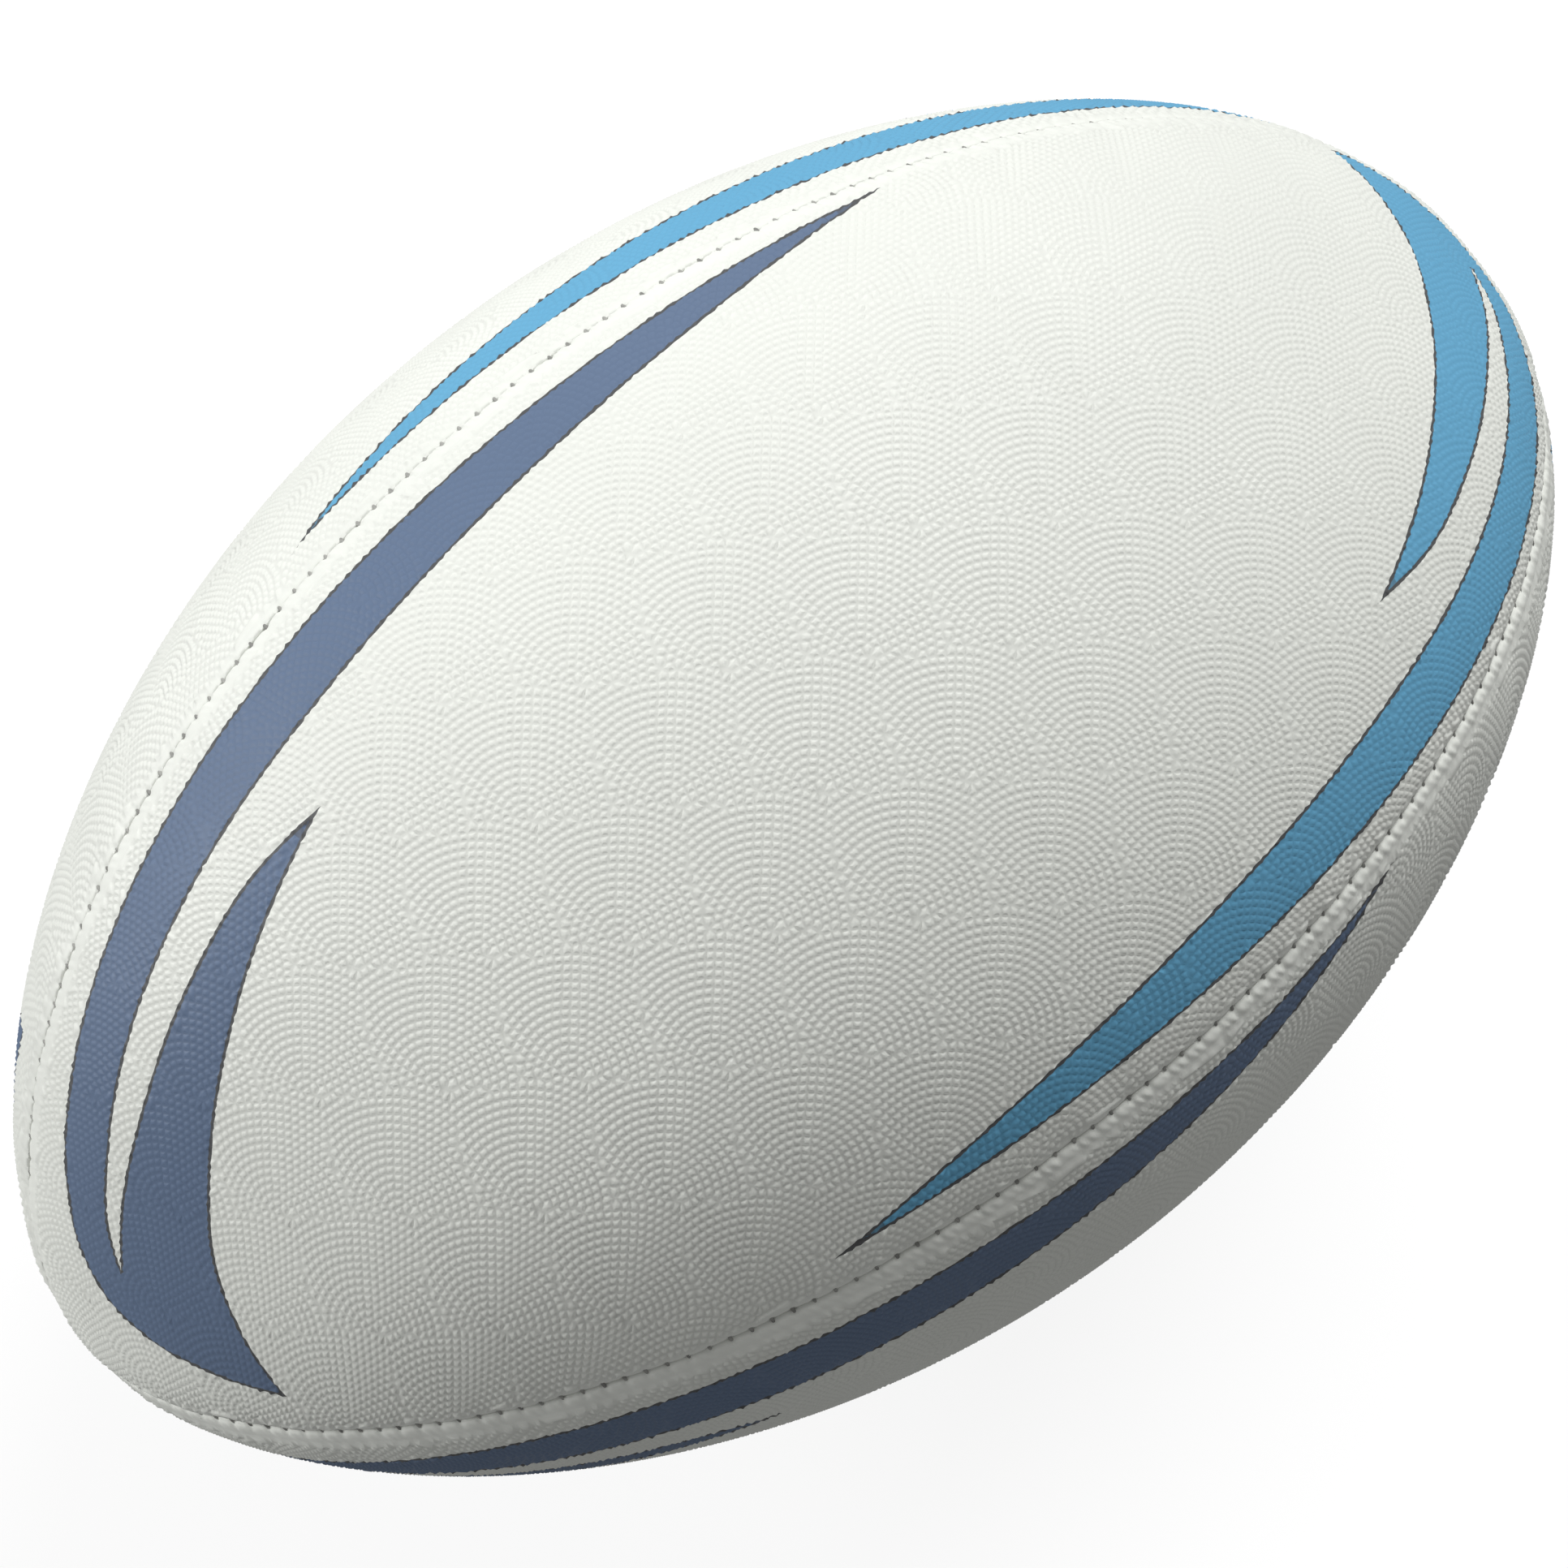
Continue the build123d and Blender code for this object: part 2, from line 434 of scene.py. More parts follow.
def pimple_centres():
    """Pimple centres in overlapping fans of arcs, over a whole flat panel, and each one's arc.

    An arc is a number for its fan and ring, and comes with the pimple's number along it.
    """
    centres, opening = fan_centres()
    sideways = np.array([opening[1], -opening[0]])
    found, arcs = [], []
    for k, centre in enumerate(centres):
        for ring_number in range(FAN_RINGS):
            radius = ring_number * PIMPLE_PITCH
            count = max(int(round(2 * math.pi * radius / PIMPLE_PITCH)), 1)
            turn = np.arange(count) * 2 * math.pi / count
            ways = np.outer(np.cos(turn), opening) + np.outer(np.sin(turn), sideways)
            points = centre + radius * ways
            keep = (np.abs(points[:, 0]) < HALF_ARC) & (from_edge(points) > pimple_start(points))
            keep[keep] = fan_of(points[keep], centres, opening) == k
            arc_number = np.full(count, k * FAN_RINGS + ring_number)
            found.append(points[keep])
            arcs.append(np.stack([arc_number, np.arange(count)], -1)[keep])
    points, arcs = np.concatenate(found), np.concatenate(arcs)
    tree = tree_of(points)
    gone = np.zeros(len(points), bool)
    for i, p in enumerate(points):
        if gone[i]:
            continue
        for _, j, _ in tree.find_range((p[0], p[1], 0), PIMPLE_CLOSEST):
            if j > i:
                gone[j] = True
    return points[~gone], arcs[~gone]


def triangles(points, edges=()):
    """A flat triangulation that keeps the edges given. Gives back its points and faces."""
    places, sides = [Vector(p) for p in points], [tuple(e) for e in edges]
    out = delaunay_2d_cdt(places, sides, [], 0, LEAST_AREA, False)
    places = np.array([(v[0], v[1]) for v in out[0]])
    return places, np.array(out[2], int)


def doubled_areas(places, faces):
    """Twice each flat face's area, below zero where its corners run clockwise."""
    a, b, c = (places[faces[:, i]] for i in range(3))
    ab, ac = b - a, c - a
    return ab[:, 0] * ac[:, 1] - ab[:, 1] * ac[:, 0]


def ring(centre, radius, count):
    """Points evenly round a circle."""
    turn = np.arange(count) * 2 * math.pi / count
    return centre + radius * np.stack([np.cos(turn), np.sin(turn)], -1)


def closed_edges(start, count):
    """The sides of a closed loop of points that are numbered from start."""
    return [(start + i, start + (i + 1) % count) for i in range(count)]


def stitch_at(s):
    """1 at each stitch along a seam, 0 between stitches."""
    return (0.5 + 0.5 * np.cos(2 * math.pi * s / STITCH_PITCH)) ** STITCH_SHARPNESS


def edge_rows():
    """Rows of points along both seams of a panel, the first of them its cut edge."""
    rows = []
    for side in (-1, 1):
        for number, distance in enumerate(EDGE_ROWS[side > 0]):
            s = np.arange(-HALF_ARC + EDGE_END_GAP, HALF_ARC - EDGE_END_GAP, EDGE_STEP)
            edge = np.interp(s, arc_table, edge_table)
            slope = np.interp(s, arc_table, edge_slope_table)
            is_cut_edge = number == 0
            inward = distance + is_cut_edge * STITCH_OPENING[side > 0] * stitch_at(s)
            away = inward / np.sqrt(1 + slope**2)
            row = np.stack([s + slope * away, side * (edge - away)], -1)
            fits = (side * row[:, 1] > EDGE_MIDDLE_GAP) & (np.abs(row[:, 0]) < HALF_ARC)
            fits &= np.abs(from_edge(row, side) - inward) < EDGE_SLACK
            rows.append((row[fits], is_cut_edge))
    return rows


def cells_between(centres, arcs):
    """The small cells round the pimples.

    Gives the cells' corners, the saddles between neighbours on one arc, and the cells' sides as
    pairs of numbers that count the corners first and the saddles after them.
    """
    places, faces = triangles(centres)
    a, b, c = (places[faces[:, i]] for i in range(3))
    sides = np.stack([np.linalg.norm(p - q, axis=1) for p, q in ((b, c), (c, a), (a, b))], -1)
    keep = sides.max(axis=1) < CELL_REACH
    faces, sides, a, b, c = faces[keep], sides[keep], a[keep], b[keep], c[keep]
    # A cell's corner is the centre of the circle through three pimples, or the middle of their
    # triangle's longest side where that centre lies outside it
    square = sides**2
    weight = square * (square.sum(axis=1, keepdims=True) - 2 * square)
    obtuse = weight.min(axis=1) < 0
    weight = np.where(obtuse[:, None], np.where(weight < 0, 0, 1), weight)
    weight = weight / weight.sum(axis=1, keepdims=True)
    middle = a * weight[:, [0]] + b * weight[:, [1]] + c * weight[:, [2]]
    tree = tree_of(middle)
    owner = np.full(len(middle), -1)
    corners = []
    for i, p in enumerate(middle):
        if owner[i] >= 0:
            continue
        for _, j, _ in tree.find_range((p[0], p[1], 0), CORNER_MERGE):
            if owner[j] < 0:
                owner[j] = len(corners)
        corners.append(p)
    pairs = np.sort(np.concatenate([faces[:, [0, 1]], faces[:, [1, 2]], faces[:, [2, 0]]]), axis=1)
    face_of = np.tile(np.arange(len(faces)), 3)
    order = np.lexsort((pairs[:, 1], pairs[:, 0]))
    pairs, face_of = pairs[order], face_of[order]
    shared = np.nonzero((pairs[1:] == pairs[:-1]).all(axis=1))[0]
    links = np.stack([owner[face_of[shared]], owner[face_of[shared + 1]]], -1)
    ends = pairs[shared]
    real = links[:, 0] != links[:, 1]
    links, ends = links[real], ends[real]
    gap = np.abs(arcs[ends[:, 0], 1] - arcs[ends[:, 1], 1])
    same_arc = (arcs[ends[:, 0], 0] == arcs[ends[:, 1], 0]) & (gap > 0)
    saddles = places[ends[same_arc]].mean(axis=1)
    number = len(corners) + np.arange(len(saddles))
    to_saddle = np.stack([links[same_arc, 0], number], -1)
    from_saddle = np.stack([number, links[same_arc, 1]], -1)
    joined = np.concatenate([links[~same_arc], to_saddle, from_saddle])
    return np.array(corners), saddles, joined


def inset(loop, distance):
    """A row of points inside a loop, all of them the same distance from it."""
    ahead = np.roll(loop, -1, axis=0) - np.roll(loop, 1, axis=0)
    normal = np.stack([-ahead[:, 1], ahead[:, 0]], -1)
    normal /= np.linalg.norm(normal, axis=1, keepdims=True)
    area = (loop[:, 0] * np.roll(loop[:, 1], -1) - np.roll(loop[:, 0], -1) * loop[:, 1]).sum()
    row = loop + normal * distance * (1 if area > 0 else -1)
    return row[loop_distance(row, loop) > INSET_SHARE * distance]


def flat_panel(with_valve):
    """The triangulated flat panel, shared by every panel with or without the valve's hole."""
    centres, arcs = pimple_centres()
    valve = flat(np.array([0.0]), np.array([BACK_TURN]))[0]
    if with_valve:
        clear = np.hypot(*(centres - valve).T) > VALVE_COLLAR + COLLAR_MARGIN
        centres, arcs = centres[clear], arcs[clear]
    corners, saddles, links = cells_between(centres, arcs)
    loops = [fork_loop(), half_turned(fork_loop())]
    insets = [inset(loop, INK_LINE) for loop in loops]
    outline_tree = tree_of(np.concatenate(loops))
    line_tree = tree_of(np.concatenate(loops + insets))
    pool = np.concatenate([centres, corners, saddles])
    kept = nearest(line_tree, pool) > PRINT_CLEAR
    number = np.cumsum(kept) - 1
    links = links + len(centres)
    clear = nearest(outline_tree, pool) > PRINT_LINK_CLEAR
    links = links[kept[links].all(axis=1) & clear[links].all(axis=1)]
    links = number[links]
    pool = pool[kept]
    rows = edge_rows()
    points, edges = [pool], [tuple(int(v) for v in link) for link in links]
    count = len(pool)
    for row, is_cut_edge in rows:
        points.append(row)
        if is_cut_edge:
            edges += [(count + i, count + i + 1) for i in range(len(row) - 1)]
        count += len(row)
    for loop in loops:
        points.append(loop)
        edges += closed_edges(count, len(loop))
        count += len(loop)
    for row in insets:
        points.append(row)
        count += len(row)
    if with_valve:
        for radius, ring_count in COLLAR_RINGS:
            points.append(ring(valve, radius, ring_count))
            edges += closed_edges(count, ring_count)
            count += ring_count
    places, faces = triangles(np.concatenate(points), edges)
    middle = places[faces].mean(axis=1)
    opening = np.where(middle[:, 1] > 0, STITCH_OPENING[1], STITCH_OPENING[0])
    keep = from_edge(middle) > SEAM_EDGE + 0.5 * opening * stitch_at(middle[:, 0]) - CUT_SLACK
    if with_valve:
        keep &= np.hypot(*(middle - valve).T) > VALVE_HOLE * HOLE_SHARE
    faces = faces[keep]
    doubled = doubled_areas(places, faces)
    faces = faces[np.abs(doubled) > LEAST_AREA]
    doubled = doubled[np.abs(doubled) > LEAST_AREA]
    faces[doubled < 0] = faces[doubled < 0][:, ::-1]
    middle = places[faces].mean(axis=1)
    ink = np.zeros(len(faces), int)
    for k, loop in enumerate(loops):
        ink[inside(middle, loop)] = k + 1
    rim = np.minimum(loop_distance(places, loops[0]), loop_distance(places, loops[1]))
    near = nearest(tree_of(centres), places)
    on_saddle = nearest(tree_of(saddles), places) < SAME_PLACE
    pimple = np.where(on_saddle, SADDLE_RISE, np.clip(1 - near / PIMPLE_REACH, 0, 1))
    collar = np.hypot(*(places - valve).T) if with_valve else None
    return {
        "places": places, "faces": faces, "ink": ink, "rim": rim,
        "pimple": pimple, "collar": collar, "valve": valve,
    }


def relief(panel, seed):
    """The height of a flat panel's points over the bare surface, and how far pimples have faded in."""
    places = panel["places"]
    distance = np.maximum(from_edge(places), 0)
    fade = (distance - pimple_start(places) + PIMPLE_FADE_START) / PIMPLE_FADE
    fade = np.clip(fade, 0, 1)
    height = PIMPLE_RISE * panel["pimple"] * fade
    stitch = stitch_at(places[:, 0])
    over = (places[:, 1] > 0).astype(int)
    pit, swell = np.array(STITCH_PIT)[over], np.array(LIP_SWELL)[over]
    lip_at, lip_reach = np.array(LIP_AT)[over], np.array(LIP_REACH)[over]
    height -= SEAM_DEPTH * np.exp(-((distance / SEAM_ROUND) ** SEAM_ROUND_POWER))
    height -= SEAM_DIP * np.exp(-((distance / SEAM_DIP_REACH) ** 2))
    height -= pit * stitch * np.exp(-((distance / STITCH_PIT_REACH) ** 2))
    pull = PULL_LEAST + (1 - PULL_LEAST) * (places[:, 0] + PULL_FADE) / PULL_FADE
    pull = np.clip(pull, PULL_LEAST, 1)
    lip = np.exp(-(((distance - lip_at) / lip_reach) ** 2))
    height += pull * swell * (1 - LIP_PINCH * stitch) * lip
    leaning = places[:, 0] - PLEAT_LEAN * distance
    uneven = sum(np.sin(leaning * rate + phase) for rate, phase in UNEVEN_WAVES)
    turned = 2 * math.pi * PLEATS_PER_STITCH * leaning / STITCH_PITCH
    pleats = (1 + PLEAT_UNEVEN_RISE * uneven) * np.sin(turned + PLEAT_UNEVEN_SHIFT * uneven)
    pleat_band = np.exp(-(((distance - PLEAT_AT) / PLEAT_REACH) ** 2))
    height += over * pull * PLEAT_RISE * pleats * pleat_band
    height -= tip_dimple(places[:, 0])
    rng = np.random.default_rng(seed)
    for _ in range(WANDER_WAVES):
        length = rng.uniform(*WANDER_LENGTHS)
        phase = rng.uniform(0, 2 * math.pi)
        amount = rng.uniform(*WANDER_AMOUNTS)
        wave = np.sin(2 * math.pi * places[:, 0] / length + phase)
        height += amount * wave * np.exp(-distance / WANDER_REACH)
    if panel["collar"] is not None:
        from_hole = panel["collar"] - VALVE_HOLE
        from_outside = VALVE_COLLAR - panel["collar"]
        rise = np.clip(from_hole / COLLAR_RAMP[0], 0, 1) * np.clip(from_outside / COLLAR_RAMP[1], 0, 1)
        height += VALVE_COLLAR_RISE * rise
    return height, fade


def open_sides(faces):
    """Directed sides that only one face has, for faces that all have the same number of corners."""
    corners = faces.shape[1]
    pairs = np.concatenate([faces[:, [n, (n + 1) % corners]] for n in range(corners)])
    key = np.sort(pairs, axis=1)
    _, first, number = np.unique(key, axis=0, return_index=True, return_counts=True)
    return pairs[first[number == 1]]


def new_object(name, data):
    """An object in the scene, for a mesh, a light or a camera."""
    piece = bpy.data.objects.new(name, data)
    bpy.context.scene.collection.objects.link(piece)
    return piece


def mesh_from(name, points, faces, materials, index=None, floats=None):
    """A smooth-shaded object from points in millimetres."""
    mesh = bpy.data.meshes.new(name)
    mesh.from_pydata((np.asarray(points) * MM).tolist(), [], [tuple(int(i) for i in f) for f in faces])
    for material in materials:
        mesh.materials.append(material)
    if index is not None:
        mesh.polygons.foreach_set("material_index", np.asarray(index, np.int32))
    for key, values in (floats or {}).items():
        layer = mesh.attributes.new(key, "FLOAT", "POINT")
        layer.data.foreach_set("value", np.asarray(values, np.float32))
    mesh.shade_smooth()
    mesh.update()
    return new_object(name, mesh)


def cover_panel(name, side, panel, materials, seed):
    """One pimpled cover panel as a closed shell: fine outside, plain inside, and walls between."""
    facing = PANELS[side]
    station, turn = unflat(panel["places"])
    height, fade = relief(panel, seed)
    outer = lifted(station, turn, height, facing)
    faces = panel["faces"]
    rim_edges = open_sides(faces)
    rim_points = np.unique(rim_edges)
    number = {int(old): i for i, old in enumerate(rim_points)}
    columns = np.arange(-HALF_ARC, HALF_ARC, INNER_GRID)
    rows = np.arange(-INNER_GRID_ROWS, INNER_GRID_ROWS + 1) * INNER_GRID
    grid = np.stack([axis.ravel() for axis in np.meshgrid(columns, rows)], -1)
    grid = grid[from_edge(grid) > INNER_GRID_MARGIN]
    if panel["collar"] is not None:
        off_hole = np.hypot(*(grid - panel["valve"]).T) - VALVE_HOLE
        grid = grid[off_hole > INNER_GRID_HOLE_MARGIN]
    inner_edges = [(number[int(a)], number[int(b)]) for a, b in rim_edges]
    inner_flat = np.concatenate([panel["places"][rim_points], grid])
    inner_places, inner_faces = triangles(inner_flat, inner_edges)
    middle = inner_places[inner_faces].mean(axis=1)
    keep = from_edge(middle) > SEAM_EDGE * 0.5
    if panel["collar"] is not None:
        keep &= np.hypot(*(middle - panel["valve"]).T) > VALVE_HOLE * HOLE_SHARE
    inner_faces = inner_faces[keep]
    upward = doubled_areas(inner_places, inner_faces) > 0
    inner_faces[upward] = inner_faces[upward][:, ::-1]
    inner_station, inner_turn = unflat(inner_places)
    sunk = COVER_DEPTH + tip_dimple(inner_places[:, 0])
    inner = lifted(inner_station, inner_turn, -sunk, facing)
    start = len(outer)
    walls = []
    for a, b in rim_edges:
        low_a, low_b = start + number[int(a)], start + number[int(b)]
        walls.append((b, a, low_a, low_b))
    points = np.concatenate([outer, inner])
    all_faces = [tuple(f) for f in faces] + walls + [tuple(f + start) for f in inner_faces]
    index = list(panel["ink"]) + [0] * (len(walls) + len(inner_faces))
    away, level = np.full(len(inner), OUT_OF_REACH), np.zeros(len(inner))
    floats = {
        "rim": np.concatenate([panel["rim"], away]),
        "pimple": np.concatenate([panel["pimple"] * fade, level]),
        "fade": np.concatenate([fade, level]),
        "from_seam": np.concatenate([from_edge(panel["places"]), away]),
    }
    return mesh_from(name, points, all_faces, materials, index, floats)


def off_valve(places):
    """How far places are from the valve's axis, with the ball's other side counted as far away."""
    along = places @ VALVE_AXIS
    out = places - np.outer(along, VALVE_AXIS)
    return np.where(along > 0, np.linalg.norm(out, axis=1), HALF_LENGTH)


def shell(name, top, bottom, facing, material, half_turn=PLY_HALF_TURN, across=16, along=96, hole=None):
    """A quarter or a whole shell between two depths, as a closed grid.

    A hole is the radius of its round opening for the valve.
    """
    whole = half_turn >= 180
    quarter = 2 * PANEL_HALF_TURN
    stations = LAYER_LAST_STATION * np.sin(np.linspace(-math.pi / 2, math.pi / 2, along + 1))
    turns = np.linspace(-half_turn, half_turn, across + 1)
    if whole:
        turns = turns[:-1]
    grid_station, grid_turn = np.meshgrid(stations, turns, indexing="ij")
    panel_turn = (grid_turn + PANEL_HALF_TURN) % quarter - PANEL_HALF_TURN if whole else grid_turn
    panel_facing = facing - (grid_turn - panel_turn)
    rows, columns = grid_station.shape
    layers = []
    for depth in (top, bottom):
        sunk = depth + tip_dimple(np.interp(grid_station, station_table, arc_table))
        lines = []
        for k in range(columns):
            line = grid_station[:, [k]], panel_turn[:, [k]], -sunk[:, [k]]
            lines.append(lifted(*line, panel_facing[0, k]))
        layers.append(np.concatenate(lines, axis=1).reshape(-1, 3))
    points = np.concatenate(layers)
    size = rows * columns
    last_column = columns if whole else columns - 1
    row, column = (index.ravel() for index in np.mgrid[0 : rows - 1, 0:last_column])
    beside = (column + 1) % columns
    used = np.stack([row * columns + column, row * columns + beside], -1)
    used = np.hstack([used, used[:, ::-1] + columns])
    if hole:
        used = used[off_valve(points[used].mean(axis=1)) > hole]
    sides = open_sides(used)
    walls = [(b, a, a + size, b + size) for a, b in sides]
    if hole:
        rim = np.unique(sides)
        rim = rim[off_valve(points[rim]) < 2 * hole]
        rim = np.concatenate([rim, rim + size])
        foot = np.outer(points[rim] @ VALVE_AXIS, VALVE_AXIS)
        points[rim] = foot + (points[rim] - foot) * (hole / off_valve(points[rim]))[:, None]
    keep = np.unique(np.concatenate([used.ravel(), used.ravel() + size]))
    renumber = np.full(2 * size, -1)
    renumber[keep] = np.arange(len(keep))
    faces = [*used, *(used[:, ::-1] + size), *walls]
    faces = [tuple(renumber[list(face)]) for face in faces]
    piece = mesh_from(name, points[keep], faces, [material])
    flip_outward(piece)
    return piece


def flip_outward(piece):
    """Turn every face of a closed mesh outward."""
    work = bmesh.new()
    work.from_mesh(piece.data)
    bmesh.ops.recalc_face_normals(work, faces=work.faces)
    work.to_mesh(piece.data)
    work.free()


def tube(path, radius, sides):
    """Points and faces of a closed tube with flat ends along a path of points."""
    path = np.asarray(path, float)
    ahead = np.gradient(path, axis=0)
    ahead /= np.linalg.norm(ahead, axis=1, keepdims=True)
    guide = path[0] / max(np.linalg.norm(path[0]), TINY)
    points = []
    radii = np.broadcast_to(radius, (len(path),))
    for place, way, thick in zip(path, ahead, radii):
        side = np.cross(way, guide)
        side /= np.linalg.norm(side)
        up = np.cross(side, way)
        turn = np.arange(sides) * 2 * math.pi / sides
        points.append(place + thick * (np.outer(np.cos(turn), side) + np.outer(np.sin(turn), up)))
    points = np.concatenate(points)
    faces = []
    for i in range(len(path) - 1):
        for j in range(sides):
            k = (j + 1) % sides
            faces.append((i * sides + j, i * sides + k, (i + 1) * sides + k, (i + 1) * sides + j))
    faces.append(tuple(reversed(range(sides))))
    faces.append(tuple((len(path) - 1) * sides + j for j in range(sides)))
    return points, faces


def seam_thread(name, angle, material):
    """A row of stitches over one seam and the thread that runs under them in the groove."""
    facing = angle + PANEL_HALF_TURN  # the seam is this panel's edge at turn +45
    all_points, all_faces = [], []

    def add_piece(points, faces):
        start = sum(len(p) for p in all_points)
        all_points.append(points)
        all_faces.extend(tuple(v + start for v in f) for f in faces)

    run_places = np.arange(-HALF_ARC + RUN_TIP_GAP, HALF_ARC - RUN_TIP_GAP, RUN_STEP)
    stations = np.interp(run_places, arc_table, station_table)
    on_seam, sunk = np.full(len(stations), PANEL_HALF_TURN), np.full(len(stations), -RUN_DEPTH)
    add_piece(*tube(lifted(stations, on_seam, sunk, facing), RUN_RADIUS, sides=6))
    first = math.ceil((-HALF_ARC + STITCH_TIP_GAP) / STITCH_PITCH)
    last = math.floor((HALF_ARC - STITCH_TIP_GAP) / STITCH_PITCH)
    for k in range(first, last + 1):
        station = float(np.interp(k * STITCH_PITCH, arc_table, station_table))
        radius = float(base_radius(station))
        if radius < STITCH_LEAST_RADIUS:
            continue
        path = []
        for out, depth in zip(STITCH_OUT, STITCH_DEPTH):
            past = out > 0  # on the neighbouring panel, whose own turn starts at -45
            turn = math.degrees(out / radius) + (-PANEL_HALF_TURN if past else PANEL_HALF_TURN)
            own_facing = facing - 2 * PANEL_HALF_TURN if past else facing
            place = np.array([station]), np.array([turn]), np.array([-depth])
            path.append(lifted(*place, own_facing)[0])
        add_piece(*tube(path, STITCH_THICK, sides=8))
    return mesh_from(name, np.concatenate(all_points), all_faces, [material])


# ==== Materials ====

def nodes_of(name):
    """A new material, its node tree and its shader."""
    material = bpy.data.materials.new(name)
    material.use_nodes = True
    tree = material.node_tree
    shader = tree.nodes["Principled BSDF"]
    return material, tree, shader


def node(tree, kind, **values):
    """A new node with values set on its sockets."""
    made = tree.nodes.new(kind)
    for key, value in values.items():
        made.inputs[key].default_value = value
    return made


def maths(tree, operation, a, b):
    """The result of a Math node on two values, each a number or a socket."""
    made = tree.nodes.new("ShaderNodeMath")
    made.operation = operation
    for slot, value in enumerate((a, b)):
        if isinstance(value, (int, float)):
            made.inputs[slot].default_value = value
        else:
            tree.links.new(value, made.inputs[slot])
    return made.outputs[0]


def shaded(colour, share):
    """A colour times a share, none of it over 1."""
    return tuple(min(c * share, 1) for c in colour)


def blend_colours(tree, factor, a, b):
    """From colour a to colour b, each three numbers or a socket, as the factor socket says."""
    made = tree.nodes.new("ShaderNodeMix")
    made.data_type = "RGBA"
    tree.links.new(factor, made.inputs[0])
    for socket, value in ((made.inputs[6], a), (made.inputs[7], b)):
        if isinstance(value, tuple):
            socket.default_value = (*value, 1.0)
        else:
            tree.links.new(value, socket)
    return made.outputs[2]


def attribute(tree, name):
    """A number that the mesh holds at its points."""
    made = tree.nodes.new("ShaderNodeAttribute")
    made.attribute_name = name
    return made.outputs["Fac"]


def placed(tree, texture):
    """Ties a texture to places on the object, and gives back its Fac socket."""
    place = tree.nodes.new("ShaderNodeTexCoord")
    tree.links.new(place.outputs["Object"], texture.inputs["Vector"])
    return texture.outputs["Fac"]


def noise(tree, scale, detail):
    """Noise with lumps about 1 / scale metres across."""
    return placed(tree, node(tree, "ShaderNodeTexNoise", Scale=scale, Detail=detail))


def bands(tree, direction, scale, distortion):
    """Waves along one direction."""
    wave = node(tree, "ShaderNodeTexWave", Scale=scale, Distortion=distortion)
    wave.bands_direction = direction
    return placed(tree, wave)


def bumped(tree, height, strength, depth, under=None):
    """A normal bumped by a height socket, with its depth in metres, over another bump if given."""
    bump = node(tree, "ShaderNodeBump", Strength=strength, Distance=depth)
    tree.links.new(height, bump.inputs["Height"])
    if under is not None:
        tree.links.new(under, bump.inputs["Normal"])
    return bump.outputs[0]


def ranged(tree, value, low, high, to_low=0.0, to_high=1.0):
    """A value smoothly carried from the range low to high over to another range."""
    made = tree.nodes.new("ShaderNodeMapRange")
    made.interpolation_type = "SMOOTHSTEP"
    tree.links.new(value, made.inputs[0])
    for slot, number in enumerate((low, high, to_low, to_high), start=1):
        made.inputs[slot].default_value = number
    return made.outputs[0]


def rubber(name, colour, painted_hollow_shade, dot_bump):
    """Pimpled rubber with painted shade in the hollows between pimples, and fine grain. Gives back its
    colour too, to print over.
    """
    material, tree, shader = nodes_of(name)
    mottle = ranged(tree, noise(tree, scale=28.0, detail=4.0), low=0.35, high=0.65)
    body = blend_colours(tree, mottle, shaded(colour, 0.97), colour)
    pimple = attribute(tree, "pimple")
    between = maths(tree, "SUBTRACT", 1.0, ranged(tree, pimple, low=0.10, high=0.55))
    painted_shade_between_pimples = maths(tree, "MULTIPLY", between, attribute(tree, "fade"))
    # Painted shade: the colour is darkened in the hollows between pimples
    body = blend_colours(tree, painted_shade_between_pimples, body, shaded(colour, painted_hollow_shade))
    unevenness = noise(tree, scale=60.0, detail=3.0)
    rough = ranged(tree, unevenness, low=0.3, high=0.7, to_low=0.46, to_high=0.56)
    tree.links.new(rough, shader.inputs["Roughness"])
    shader.inputs["Specular IOR Level"].default_value = 0.22
    dots = bumped(tree, ranged(tree, pimple, low=0.10, high=0.85), strength=dot_bump, depth=0.0002)
    grain = noise(tree, scale=1400.0, detail=2.0)
    normal = bumped(tree, grain, strength=0.15, depth=0.0001, under=dots)
    tree.links.new(normal, shader.inputs["Normal"])
    return material, tree, shader, body


def bare_rubber(name, colour):
    """Pimpled rubber without print, with painted shade that darkens it a little down in the seam."""
    material, tree, shader, body = rubber(name, colour, painted_hollow_shade=0.92, dot_bump=0.55)
    # Painted shade: the colour is darkened down in the seam's groove
    clear_of_painted_seam_shade = ranged(tree, attribute(tree, "from_seam"), low=0.05, high=0.45)
    body = blend_colours(tree, clear_of_painted_seam_shade, shaded(colour, 0.90), body)
    tree.links.new(body, shader.inputs["Base Color"])
    return material


def printed_rubber(name, colour, line_colour):
    """Pimpled rubber under ink, with a thin dark line along the print's edge."""
    material, tree, shader, body = rubber(name, colour, painted_hollow_shade=0.94, dot_bump=0.35)
    off_line = ranged(tree, attribute(tree, "rim"), low=INK_LINE - 0.08, high=INK_LINE + 0.08)
    body = blend_colours(tree, off_line, line_colour, body)
    tree.links.new(body, shader.inputs["Base Color"])
    return material


def cloth(name, colour, pitch):
    """Plain weave with its threads about pitch millimetres apart."""
    material, tree, shader = nodes_of(name)
    scale = 2 * math.pi / (20 * pitch * MM)  # a wave's angle turns 20 radians in 1 / scale metres
    weave = maths(tree, "MAXIMUM", *(bands(tree, way, scale, distortion=0.4) for way in ("X", "Y")))
    shade = blend_colours(tree, weave, shaded(colour, 0.7), colour)
    tree.links.new(shade, shader.inputs["Base Color"])
    shader.inputs["Roughness"].default_value = 0.9
    tree.links.new(bumped(tree, weave, strength=0.5, depth=0.0002), shader.inputs["Normal"])
    return material


